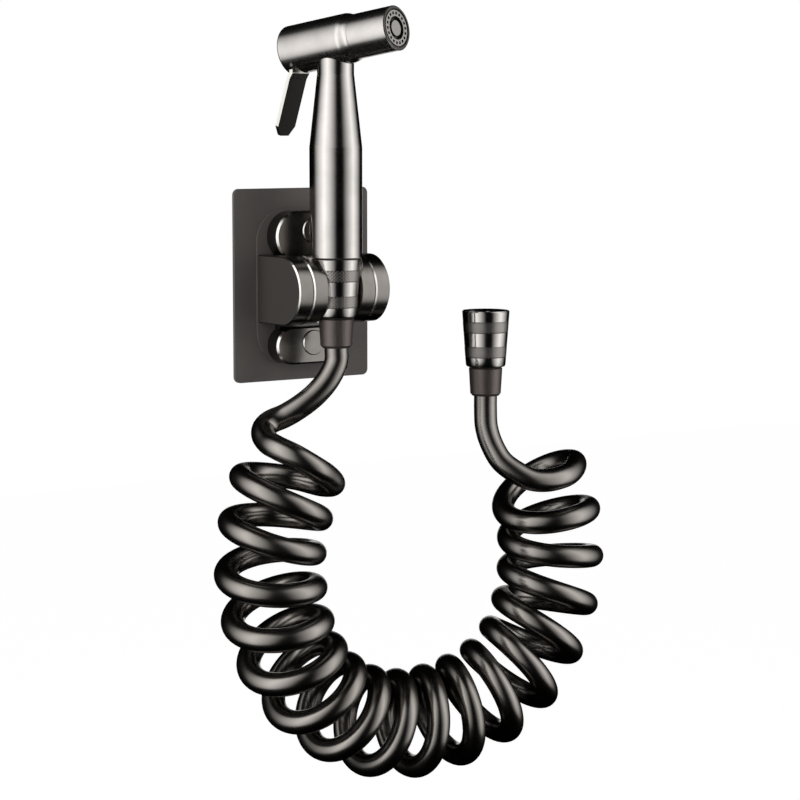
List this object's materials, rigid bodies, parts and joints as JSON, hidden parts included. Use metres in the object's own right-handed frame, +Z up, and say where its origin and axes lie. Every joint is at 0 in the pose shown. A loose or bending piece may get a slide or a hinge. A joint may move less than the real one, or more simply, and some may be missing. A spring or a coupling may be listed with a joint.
{
  "type": "handheld bath sprayer",
  "caption": "Trigger hand shower on a pivoting wall holder with an adhesive plate, fed by a coiled hose with a swivel nut at each end.",
  "frame": {"origin": "on the wall, behind the adhesive pad, level with the cradle's pivot", "axes": "+Z up, +Y into the wall, +X to the right as seen from in front"},
  "size_m": [0.219, 0.0692, 0.3772],
  "materials": {
    "adhesive": "white foam adhesive pad",
    "gunmetal_matt": "matt gunmetal coating on stainless steel",
    "gunmetal_polished": "polished gunmetal plating",
    "gunmetal_satin": "satin gunmetal coating",
    "steel": "plain stainless steel",
    "brass": "turned brass",
    "seal_rubber": "black nitrile rubber",
    "black_plastic": "black acetal",
    "hose_plastic": "glossy dark grey polyurethane hose"
  },
  "bodies": {
    "wall_holder": {"adhesive_pad": "adhesive", "wall_plate": "gunmetal_matt", "bracket": "gunmetal_matt", "bracket_screws": "steel", "screw_caps": "gunmetal_polished", "pivot_pins": "steel", "hose_coil": "hose_plastic", "hose_lead": "hose_plastic", "supply_collar": "gunmetal_satin", "supply_insert": "brass"},
    "cradle": {"cradle": "gunmetal_matt", "friction_washers": "black_plastic"},
    "hose_end": {"hose_collar": "gunmetal_satin", "hose_insert": "brass", "hose_washer": "seal_rubber", "hose_tail": "hose_plastic"},
    "handset": {"handle_tube": "gunmetal_polished", "inlet_adapter": "brass", "barrel_body": "gunmetal_satin", "rear_cap": "gunmetal_satin", "nozzle_sleeve": "gunmetal_satin", "sleeve_ring": "seal_rubber", "spray_face": "gunmetal_polished", "face_plug": "gunmetal_polished", "valve_seat": "brass", "rod_gland": "brass", "gland_ring": "seal_rubber", "lever_pin": "steel", "handset_nut": "gunmetal_polished", "valve_spring": "steel"},
    "lever": {"lever": "gunmetal_satin"},
    "valve": {"valve_rod": "steel", "valve_disc": "seal_rubber", "rod_cross_pin": "steel"},
    "supply_nut": {"supply_nut": "gunmetal_polished", "supply_washer": "seal_rubber", "supply_screen": "steel"}
  },
  "joints": [
    {"name": "cradle_tilt", "type": "hinge", "parent": "wall_holder", "child": "cradle", "pos_m": [0, -0.0245, 0], "axis": [1, 0, 0], "range_deg": [0, 15]},
    {"name": "handset_lift", "type": "slide", "parent": "cradle", "child": "hose_end", "axis": [0, 0, 1], "range_m": [0, 0.06], "deforming": ["hose_tail"]},
    {"name": "handset_swivel", "type": "hinge", "parent": "hose_end", "child": "handset", "pos_m": [0, -0.0325, 0], "axis": [0, 0, 1], "continuous": true},
    {"name": "valve_travel", "type": "slide", "parent": "handset", "child": "valve", "axis": [-0.3459, 0.9251, -0.1564], "range_m": [0, 0.0017], "stiffness_N_per_m": 150, "springref_m": -0.003, "deforming": ["valve_spring"]},
    {"name": "lever_press", "type": "hinge", "parent": "handset", "child": "lever", "pos_m": [-0.00685, -0.01417, 0.10611], "axis": [-0.9367, -0.3502, 0], "range_deg": [0, 13.5]},
    {"name": "supply_nut_spin", "type": "hinge", "parent": "wall_holder", "child": "supply_nut", "pos_m": [0.0885, -0.0325, -0.0275], "axis": [0, 0, 1], "continuous": true}
  ],
  "couplings": [
    {"joint": "lever_press", "follows": "valve_travel", "rad_per_m": 137}
  ]
}
